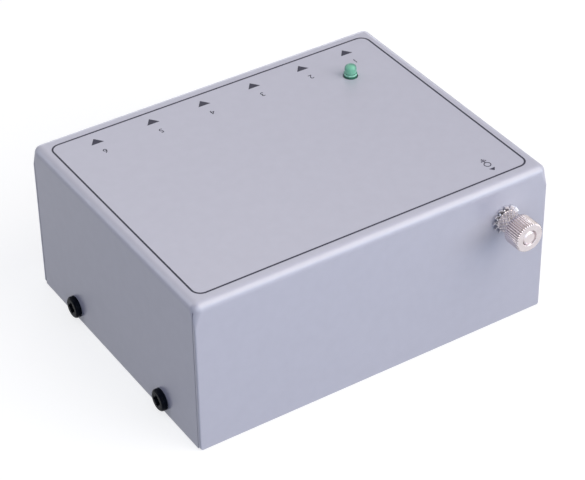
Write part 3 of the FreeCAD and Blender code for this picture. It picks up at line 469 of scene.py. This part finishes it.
def mouldedEpoxy(name, bodyHalf=None, along=0, foot=None, mark=None, dot=None):
    # transfer-moulded epoxy of chips and diodes: dull charcoal with fine filler specks; what is
    # beyond the body, or under its foot, is tinned lead
    material, tree, shader, place = surfaceFinish({
        "name": "transferMouldedEpoxy_" + name, "colour": "#232325", "secondColour": "#2F2F32",
        "patchSize": 0.6, "roughness": (0.50, 0.62), "grainSize": 0.15, "grainDepth": 0.004,
        "speckle": 0.6, "values": {"IOR": 1.55}})[:4]
    middle = nodeCentre(name)
    sides = placeInMm(tree, place, (middle.x, middle.y, 0))
    if mark:      # the middle of a pale ring
        band = addNode(tree, "ShaderNodeMath", {"operation": "COMPARE", 1: mark, 2: 0.35},
                       {0: sides[along]})
        addZone(tree, shader, band.outputs[0], "#B9BABC", 0.0, 0.4)
    if dot:       # the middle of the dot at the first pin
        flat = addNode(tree, "ShaderNodeCombineXYZ", {}, {0: sides[0], 1: sides[1]})
        reach = addNode(tree, "ShaderNodeVectorMath", {"operation": "DISTANCE", 1: dot},
                        {0: flat.outputs[0]})
        spot = addNode(tree, "ShaderNodeMath", {"operation": "LESS_THAN", 1: 0.5},
                       {0: reach.outputs["Value"]})
        addZone(tree, shader, spot.outputs[0], "#C8C8C6", 0.0, 0.5)
    if bodyHalf:
        away = addNode(tree, "ShaderNodeMath", {"operation": "ABSOLUTE"}, {0: sides[along]})
        leads = addNode(tree, "ShaderNodeMath", {"operation": "GREATER_THAN", 1: bodyHalf},
                        {0: away.outputs[0]})
        addZone(tree, shader, leads.outputs[0], **tinnedWire)
    if foot:
        under = addNode(tree, "ShaderNodeMath", {"operation": "LESS_THAN", 1: foot}, {0: sides[2]})
        addZone(tree, shader, under.outputs[0], **tinnedWire)
    return material


boardLook = {
    "name": "solderMaskLaminate", "colour": "#155C32", "secondColour": "#1A6638", "patchSize": 5,
    "roughness": (0.24, 0.34), "grainSize": 0.7, "grainDepth": 0.004, "values": {"IOR": 1.53},
    "blockSize": 13, "trackSpacing": 2.54, "trackEdge": (0.42, 0.36), "trackColour": "#2C7F46",
    "trackHeight": 0.04, "laminate": "#B7A56E"}


def solderMaskBoard(look):
    # solder mask over glass laminate: deep glossy green where the copper tracks under it stand a
    # little higher and paler, in blocks that run one way or the other; the sawn edges and the
    # drilled holes show the straw-coloured laminate
    material, tree, shader, place, bump = surfaceFinish(look)
    x, y = placeInMm(tree, place, (0, 0, 0))[:2]
    blocks = addNode(tree, "ShaderNodeTexVoronoi",
                     {"distance": "CHEBYCHEV", "voronoi_dimensions": "2D",
                      "Scale": 1 / (look["blockSize"] * mm)},
                     {"Vector": place})
    shade = addNode(tree, "ShaderNodeSeparateColor", {}, {0: blocks.outputs["Color"]})
    chosen = addNode(tree, "ShaderNodeMath", {"operation": "GREATER_THAN", 1: 0.5},
                     {0: shade.outputs[0]})
    filled = addNode(tree, "ShaderNodeMath", {"operation": "GREATER_THAN", 1: 0.3},
                     {0: shade.outputs[1]})
    across = addNode(tree, "ShaderNodeMix", {}, {0: chosen.outputs[0], 2: x, 3: y})
    lines = addNode(tree, "ShaderNodeMath", {"operation": "PINGPONG", 1: look["trackSpacing"] / 2},
                    {0: across.outputs[0]})
    track = addNode(tree, "ShaderNodeMapRange",
                    {"From Min": look["trackEdge"][0], "From Max": look["trackEdge"][1]},
                    {"Value": lines.outputs[0]})
    copper = addNode(tree, "ShaderNodeMath", {"operation": "MULTIPLY"},
                     {0: track.outputs[0], 1: filled.outputs[0]})
    addZone(tree, shader, copper.outputs[0], look["trackColour"], 0.0, 0.26)
    raised = addNode(tree, "ShaderNodeBump", {"Strength": 1.0, "Distance": look["trackHeight"] * mm},
                     {"Height": copper.outputs[0], "Normal": bump.outputs[0]})
    tree.links.new(raised.outputs[0], shader.inputs["Normal"])
    surface = addNode(tree, "ShaderNodeNewGeometry")
    facing = addNode(tree, "ShaderNodeSeparateXYZ", {}, {0: surface.outputs["Normal"]})
    level = addNode(tree, "ShaderNodeMath", {"operation": "ABSOLUTE"}, {0: facing.outputs[2]})
    edge = addNode(tree, "ShaderNodeMath", {"operation": "LESS_THAN", 1: 0.5}, {0: level.outputs[0]})
    addZone(tree, shader, edge.outputs[0], look["laminate"], 0.0, 0.6)
    return material


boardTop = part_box("circuit_board")[1].z / mm
finishes = {
    "case_paint": powderCoat, "black_screw_steel": blackZinc, "zinc_steel": brightZinc,
    "nickel_plate": nickelPlate, "tinned_bronze": tinnedBronze, "black_plastic": blackPbt,
    "red_plastic": redAbs, "white_plastic": whiteAbs, "green_lens": lensEpoxy,
    "wire_insulation": pvcInsulation, "board_laminate": solderMaskBoard(boardLook)}


sleeveUnderLens = {
    "name": "blackSleeveUnderLens", "colour": "#1B1C1E", "secondColour": "#222326", "patchSize": 3,
    "roughness": (0.44, 0.56), "grainSize": 0.22, "grainDepth": 0.006, "values": {"IOR": 1.55},
    "litAbove": 45.9, "litColour": "#35705A"}


def litSleeve(look):
    # the lamp's sleeve: black plastic whose upper end, in the gap round the lens, shows the dark
    # green light that comes down through the lens
    material, tree, shader, place = surfaceFinish(look)[:4]
    z = placeInMm(tree, place, (0, 0, 0))[2]
    upper = addNode(tree, "ShaderNodeMath", {"operation": "GREATER_THAN", 1: look["litAbove"]}, {0: z})
    addZone(tree, shader, upper.outputs[0], look["litColour"], 0.0, 0.3)
    return material


stud, jack = nodeCentre("ground_stud"), nodeCentre("jack_nut")
ownFinishes = {
    "ground_stud": threadedNickel("nickelThreadFourMm", stud, 0.7, 0.35, 2.0),
    "jack_bushing": threadedNickel("nickelThreadNine", jack, 0.75, 0.40, 4.75),
    "lamp_spacer": litSleeve(sleeveUnderLens),
    "resistors": lacqueredResistors("resistors", resistorLook),
    "supply_diode": mouldedEpoxy("supply_diode", 2.62, 1, None, 1.9),
    "regulator": mouldedEpoxy("regulator", None, 0, boardTop + 3.0)}
for number in (1, 2):
    name = "op_amp_%d" % number
    ownFinishes[name] = mouldedEpoxy(name, 3.22, 0, boardTop + 0.4, None, (-2.1, -3.5, 0))
    name = "supply_capacitor_%d" % number
    ownFinishes[name] = shrinkSleeve(name, sleeveLook)
for number in (1, 2, 3, 4):
    name = "coupling_capacitor_%d" % number
    ownFinishes[name] = shrinkSleeve(name, sleeveLook)
    name = "film_capacitor_%d" % number
    ownFinishes[name] = dippedEpoxy(name)
for part in frame["record"]["subparts"]:
    material = ownFinishes.get(part["node"]) or finishes[part["material_slot"]]
    for slot in frame["nodes"][part["node"]].material_slots:
        slot.material = material
print("finishes on every node")


# printing on the top

printing = {
    "low": 46.99, "high": 47.03,
    "insets": (3.55, 3.28, 4.22, 3.90),      # -X, +X, -Y, +Y
    "cornerRadius": 2.7, "lineWidth": 0.52,
    "markerX": (-41.8, -26.75, -10.45, 5.9, 22.25, 39.68),
    "markerBase": -33.3, "markerTip": -35.8, "markerWidth": 3.85,
    "numberHeight": 1.9, "numberY": -29.9, "capShare": 0.7,      # a figure's height in its font size
    "earthPlace": (-41.8, 33.6), "earthRing": (1.05, 0.80),
    "earthBars": ((0.13, -1.00, -1.60), (0.85, -1.60, -1.85), (0.55, -2.05, -2.30),
                  (0.25, -2.50, -2.75)),             # half width, top and bottom from the ring
    "earthPointer": (0.95, 2.0, 3.2)}                # half width, base and tip from the ring


def roundedLoop(low, high, radius, steps=12):
    # a rectangle whose corners are quarter circles, walked once round
    corner = np.array([[high[0] - radius, high[1] - radius], [low[0] + radius, high[1] - radius],
                       [low[0] + radius, low[1] + radius], [high[0] - radius, low[1] + radius]])
    turn = np.linspace(0, math.pi / 2, steps)[None, :] + np.arange(4)[:, None] * math.pi / 2
    loop = corner[:, None, :] + radius * np.stack([np.cos(turn), np.sin(turn)], axis=-1)
    return loop.reshape(-1, 2)


def printedPieces(look):
    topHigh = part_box("top_cover")[1]
    halfX, halfY = topHigh.x / mm, topHigh.y / mm
    left, right, front, rear = look["insets"]
    low, high = look["low"] * mm, look["high"] * mm
    low2, high2 = (left - halfX, front - halfY), (halfX - right, halfY - rear)
    width = look["lineWidth"]
    outer = roundedLoop((low2[0] - width / 2, low2[1] - width / 2),
                        (high2[0] + width / 2, high2[1] + width / 2), look["cornerRadius"] + width / 2)
    inner = roundedLoop((low2[0] + width / 2, low2[1] + width / 2),
                        (high2[0] - width / 2, high2[1] - width / 2), look["cornerRadius"] - width / 2)
    made = [slabPiece("printedFrame", [(outer * mm, inner * mm)], low, high)]
    markers = []
    for x in look["markerX"]:
        half = look["markerWidth"] / 2
        corners = np.array([[x - half, look["markerBase"]], [x, look["markerTip"]],
                            [x + half, look["markerBase"]]])
        markers.append((corners * mm, None))
    made.append(slabPiece("printedMarkers", markers, low, high))
    x, y = look["earthPlace"]
    turn = np.linspace(0, 2 * math.pi, 40, endpoint=False)
    circle = np.stack([np.cos(turn), np.sin(turn)], axis=-1)
    centre = np.array([x, y])
    outside, inside = look["earthRing"]
    marks = [((centre + circle * outside) * mm, (centre + circle * inside) * mm)]
    for half, top, bottom in look["earthBars"]:      # a stem and three shorter and shorter bars
        bar = np.array([[x - half, y + bottom], [x + half, y + bottom], [x + half, y + top],
                        [x - half, y + top]])
        marks.append((bar * mm, None))
    half, base, tip = look["earthPointer"]
    pointer = np.array([[x - half, y + base], [x + half, y + base], [x, y + tip]])
    marks.append((pointer * mm, None))
    made.append(slabPiece("printedEarthMark", marks, low, high))
    for number, x in enumerate(look["markerX"], 1):
        made.append(printedNumber(str(number), x, look))
    for piece in made:
        dress(piece, screenInk)
        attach(piece, "case")


def printedNumber(text, x, look):
    # plain figures set square to the sockets, made a mesh and only then put in place
    curve = bpy.data.curves.new("figure" + text, "FONT")
    curve.body = text
    curve.size = look["numberHeight"] / look["capShare"] * mm
    curve.align_x = "CENTER"
    curve.extrude = (look["high"] - look["low"]) / 2 * mm
    holder = bpy.data.objects.new("figure" + text, curve)
    bpy.context.scene.collection.objects.link(holder)
    bpy.context.view_layer.update()
    mesh = bpy.data.meshes.new_from_object(holder)
    bpy.data.objects.remove(holder)
    mesh.name = "printedFigure" + text
    middle = (look["high"] + look["low"]) / 2
    mesh.transform(Matrix.Translation((x * mm, look["numberY"] * mm, middle * mm)))
    piece = bpy.data.objects.new("printedFigure" + text, mesh)
    bpy.context.scene.collection.objects.link(piece)
    return piece


printedPieces(printing)
print("printing on the top")


# ground terminal

nutShape = {
    "neck": 3.3, "neckEnd": 3.6, "rim": 4.4, "rimStart": 4.4, "end": 9.8, "bore": 2.05,
    "mouth": 2.3, "mouthDepth": 0.5, "chamfer": 0.35,
    "rimTeeth": 40, "rimDepth": 0.42, "neckTeeth": 18, "neckDepth": 0.28, "crossRise": 2.2}


def knurledNutPiece(look):
    # a closed profile (place along the stud, radius) carried round the stud, whose smallest steps
    # round its edges off; the rim loses a triangle wave along the angle, the neck the larger of
    # two such waves that cross
    low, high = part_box("knurled_nut")
    centre = ((low.x + high.x) / 2, low.y, (low.z + high.z) / 2)
    c = look["chamfer"]
    neckRows = np.linspace(0.25, look["neckEnd"] - 0.1, 26)
    profile = [(0, look["bore"]), (0, look["neck"] - 0.25), (0.08, look["neck"] - 0.08)]
    profile += [(y, look["neck"]) for y in neckRows]
    profile += [(look["neckEnd"] + 0.1, look["neck"] - 0.02),
                (look["neckEnd"] + 0.35, look["neck"] + 0.35),
                (look["rimStart"] - 0.2, look["rim"] - 0.3), (look["rimStart"], look["rim"] - 0.08),
                (look["rimStart"] + 0.1, look["rim"]), (look["rimStart"] + 0.5, look["rim"]),
                (7.2, look["rim"]), (look["end"] - c - 0.1, look["rim"]),
                (look["end"] - c, look["rim"] - 0.02), (look["end"] - 0.5 * c, look["rim"] - 0.45 * c),
                (look["end"] - 0.06, look["rim"] - c), (look["end"], look["rim"] - c - 0.10),
                (look["end"], look["mouth"] + 0.06), (look["end"] - 0.03, look["mouth"] + 0.01),
                (look["end"] - 0.10, look["mouth"] - 0.02),
                (look["end"] - look["mouthDepth"], look["bore"])]
    profile = np.array(profile)
    columns = look["rimTeeth"] * 8
    angle = np.linspace(0, 2 * math.pi, columns, endpoint=False)[None, :]
    along = np.repeat(profile[:, :1], columns, axis=1)
    radius = np.repeat(profile[:, 1:], columns, axis=1)

    def wave(phase):
        # 1 at the bottom of a groove, 0 on a crest, with slightly flattened crests
        saw = np.abs((phase / (2 * math.pi)) % 1 - 0.5) * 2
        return np.clip((saw - 0.18) / 0.82, 0, 1)

    onRim = np.clip((along - look["neckEnd"] - 0.3) / 0.5, 0, 1) * np.clip((radius - 3.4) / 0.6, 0, 1)
    onRim = np.where(along > look["end"] - 0.02, 0, onRim)
    onNeck = np.clip((along - 0.1) / 0.25, 0, 1) * np.clip((look["neckEnd"] - along) / 0.25, 0, 1)
    onNeck = onNeck * (radius > look["neck"] - 0.05) * (radius < look["neck"] + 0.05)
    twist = look["crossRise"] * along
    diamonds = np.maximum(wave(look["neckTeeth"] * angle + twist * 2),
                          wave(look["neckTeeth"] * angle - twist * 2))
    radius = radius - onRim * look["rimDepth"] * wave(look["rimTeeth"] * angle)
    radius = radius - onNeck * look["neckDepth"] * diamonds
    return turnedPiece("knurledNut", radius * mm, along * mm, centre, "y", True, 38)


washerShape = {
    "bore": 2.15, "ring": 3.15, "reach": 4.1, "thickness": 0.5, "teeth": 12, "twist": 28.0,
    "toothShare": 0.56}


def starWasherPiece(look):
    # a flat ring whose outer edge steps out to twelve teeth; a tooth turns about its own radius,
    # so its surface rises in line with the distance from the tooth's middle
    low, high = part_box("star_washer")
    centre = ((low.x + high.x) / 2, (low.y + high.y) / 2, (low.z + high.z) / 2)
    columns = look["teeth"] * 40
    angle = np.linspace(0, 2 * math.pi, columns, endpoint=False)[None, :]
    local = ((angle * look["teeth"] / (2 * math.pi) + 0.5) % 1) - 0.5       # -0.5..0.5 across one tooth
    edge = np.clip((look["toothShare"] / 2 - np.abs(local)) / 0.035 + 0.5, 0, 1)
    outer = look["ring"] + (look["reach"] - look["ring"]) * edge
    share = np.concatenate([[0, 0, 0.06], np.linspace(0.5, 0.94, 8), [1, 1],
                            np.linspace(0.94, 0.5, 8), [0.06]])[:, None]
    side = np.concatenate([[-0.8, 0.8, 1], np.ones(8), [0.8, -0.8], -np.ones(8), [-1]])[:, None]
    radius = look["bore"] + (outer - look["bore"]) * share
    arc = local * 2 * math.pi / look["teeth"] * radius
    onTooth = np.clip((radius - look["ring"] + 0.35) / 0.35, 0, 1)
    onTooth = onTooth * onTooth * (3 - 2 * onTooth)
    halfTooth = 0.5 * look["toothShare"] * 2 * math.pi / look["teeth"] * radius
    reachedArc = np.clip(arc, -halfTooth, halfTooth)
    lift = onTooth * reachedArc * math.tan(math.radians(look["twist"]))
    along = lift + side * look["thickness"] / 2
    return turnedPiece("starWasher", radius * mm, along * mm, centre, "y", True, 35)


nut = knurledNutPiece(nutShape)
dress(nut, nickelPlate)
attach(nut, "nut")
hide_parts("knurled_nut")

washer = starWasherPiece(washerShape)
dress(washer, brightZinc)
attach(washer, "washer")
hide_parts("star_washer")
print("ground terminal")


# power lamp

lensShape = {"radius": 1.70, "dome": 1.25, "flange": 1.9, "flangeHeight": 0.62, "height": 3.35}


def lampLensPiece(look):
    # a turned lens: flange with soft edges, straight barrel and on top half an ellipsoid
    low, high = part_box("power_lamp")
    centre = ((low.x + high.x) / 2, (low.y + high.y) / 2, low.z)
    dome = np.linspace(0, math.pi / 2, 22)[:-1]
    r = look["radius"]
    profile = [(0.0, 0.6), (0.0, look["flange"] - 0.12), (0.04, look["flange"] - 0.03),
               (0.12, look["flange"]), (look["flangeHeight"] - 0.07, look["flange"]),
               (look["flangeHeight"] - 0.02, look["flange"] - 0.03),
               (look["flangeHeight"], look["flange"] - 0.07), (look["flangeHeight"], r + 0.03),
               (look["flangeHeight"] + 0.03, r), (look["flangeHeight"] + 0.3, r)]
    profile += list(zip(look["height"] - look["dome"] * (1 - np.sin(dome)), r * np.cos(dome)))
    profile = np.array(profile)
    columns = 64
    radius = np.repeat(profile[:, 1:], columns, axis=1)
    along = np.repeat(profile[:, :1], columns, axis=1)
    return turnedPiece("lampLens", radius * mm, along * mm, centre, "z", False, 40)


lens = lampLensPiece(lensShape)
dress(lens, lensEpoxy)
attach(lens, "case")
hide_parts("power_lamp")
print("power lamp")


# floor, light and camera

studio = {
    "floorRadius": 4.0, "floorForTheEye": "#FEFEFE", "floorThatLights": "#444862",
    "floorGlow": 0.66, "glowLevel": 1.14,
    "worldLevel": 0.12, "worldInMetal": 0.40, "worldColour": "#A6BEFF",
    # direction to the light, distance, width, height, level that it adds to a surface facing it,
    # colour
    "lights": {
        "keyLight": ((-0.43, 0.60, 0.68), 1.2, 1.3, 1.3, 0.82, "#FFFAF2"),
        "frontLight": ((-0.66, 0.72, 0.20), 1.1, 1.3, 0.45, 0.32, "#D8E8FA"),
        "cameraLight": ((0.38, 0.82, 0.42), 0.55, 0.5, 0.5, 0.36, "#DCE8F8"),
        "backLight": ((0.04, -0.50, 0.86), 1.3, 1.8, 1.8, 0.33, "#FFFDF8"),
        "sideLight": ((0.63, -0.68, 0.34), 2.0, 0.5, 1.9, 0.15, "#F4F6FF"),
        "farLight": ((-0.40, -0.90, 0.16), 1.3, 1.2, 0.6, 0.22, "#EEF2FF")}}


def whiteForTheEye(tree):
    # 1 for rays from the camera and for those seen in metal or glass
    path = addNode(tree, "ShaderNodeLightPath")
    first = addNode(tree, "ShaderNodeMath", {"operation": "MAXIMUM"},
                    {0: path.outputs["Is Camera Ray"], 1: path.outputs["Is Glossy Ray"]})
    return addNode(tree, "ShaderNodeMath", {"operation": "MAXIMUM"},
                   {0: first.outputs[0], 1: path.outputs["Is Transmission Ray"]}).outputs[0]


def studioFloor(look):
    bpy.ops.mesh.primitive_circle_add(vertices=96, radius=look["floorRadius"], fill_type="NGON")
    floor = bpy.context.object
    floor.name = "studioFloor"
    material = bpy.data.materials.new("paleStudioFloor")
    material.use_nodes = True
    tree = material.node_tree
    shader = tree.nodes["Principled BSDF"]
    shader.inputs["Roughness"].default_value = 0.9
    shader.inputs["Specular IOR Level"].default_value = 0.1
    forTheEye = whiteForTheEye(tree)
    paper = addNode(tree, "ShaderNodeMix",
                    {"data_type": "RGBA", 6: toLinear(look["floorThatLights"]),
                     7: toLinear(look["floorForTheEye"])}, {0: forTheEye})
    tree.links.new(paper.outputs[2], shader.inputs["Base Color"])
    glow = addNode(tree, "ShaderNodeEmission", {"Color": (1, 1, 1, 1), "Strength": look["glowLevel"]})
    share = addNode(tree, "ShaderNodeMath", {"operation": "MULTIPLY", 1: look["floorGlow"]},
                    {0: forTheEye})
    mixed = addNode(tree, "ShaderNodeMixShader", {},
                    {0: share.outputs[0], 1: shader.outputs[0], 2: glow.outputs[0]})
    tree.links.new(mixed.outputs[0], tree.nodes["Material Output"].inputs["Surface"])
    floor.data.materials.append(material)


def studioWorld(look):
    world = bpy.data.worlds.new("softRoom")
    bpy.context.scene.world = world
    world.use_nodes = True
    tree = world.node_tree
    background = tree.nodes["Background"]
    forTheEye = whiteForTheEye(tree)
    path = addNode(tree, "ShaderNodeLightPath")
    seen = addNode(tree, "ShaderNodeMapRange", {"To Min": 1.0, "To Max": look["worldInMetal"]},
                   {"Value": path.outputs["Is Glossy Ray"]})
    level = addNode(tree, "ShaderNodeMix", {2: look["worldLevel"]}, {0: forTheEye, 3: seen.outputs[0]})
    colour = addNode(tree, "ShaderNodeMix",
                     {"data_type": "RGBA", 6: toLinear(look["worldColour"]), 7: (1, 1, 1, 1)},
                     {0: forTheEye})
    tree.links.new(colour.outputs[2], background.inputs["Color"])
    tree.links.new(level.outputs[0], background.inputs["Strength"])


def studioLights(look):
    for name, (toward, distance, width, height, level, tint) in look["lights"].items():
        lamp = bpy.data.lights.new(name, "AREA")
        lamp.shape = "ELLIPSE"
        lamp.size = width
        lamp.size_y = height
        lamp.color = toLinear(tint)[:3]
        lamp.energy = level * math.pi ** 2 * distance ** 2
        holder = bpy.data.objects.new(name, lamp)
        direction = Vector(toward).normalized()
        holder.location = Vector((0, 0, 0.03)) + direction * distance
        holder.rotation_euler = direction.to_track_quat("Z", "Y").to_euler()
        bpy.context.scene.collection.objects.link(holder)


view = {"azimuth": 147.578, "elevation": 36.726, "roll": -0.865, "distance": 0.59727,
        "target": (0, 0, 0.025), "right": 0.0011285, "up": -0.0052605, "lens": 133.78,
        "sensorWidth": 36, "clipStart": 0.01}


def photoCamera(look):
    a, e, r = (math.radians(look[key]) for key in ("azimuth", "elevation", "roll"))
    back = Vector((math.sin(a) * math.cos(e), -math.cos(a) * math.cos(e), math.sin(e)))
    levelRight = Vector((math.cos(a), math.sin(a), 0))
    levelUp = back.cross(levelRight)
    right = levelRight * math.cos(r) + levelUp * math.sin(r)
    up = back.cross(right)
    data = bpy.data.cameras.new("photoCamera")
    data.lens = look["lens"]
    data.sensor_width = look["sensorWidth"]
    data.clip_start = look["clipStart"]
    camera = bpy.data.objects.new("photoCamera", data)
    place = Vector(look["target"]) + right * look["right"] + up * look["up"] + back * look["distance"]
    turn = Matrix((right, up, back)).transposed().to_4x4()
    camera.matrix_world = Matrix.Translation(place) @ turn
    bpy.context.scene.collection.objects.link(camera)
    bpy.context.scene.camera = camera


studioFloor(studio)
studioWorld(studio)
studioLights(studio)
photoCamera(view)
bpy.context.scene.view_settings.view_transform = "Standard"
print("studio and camera")
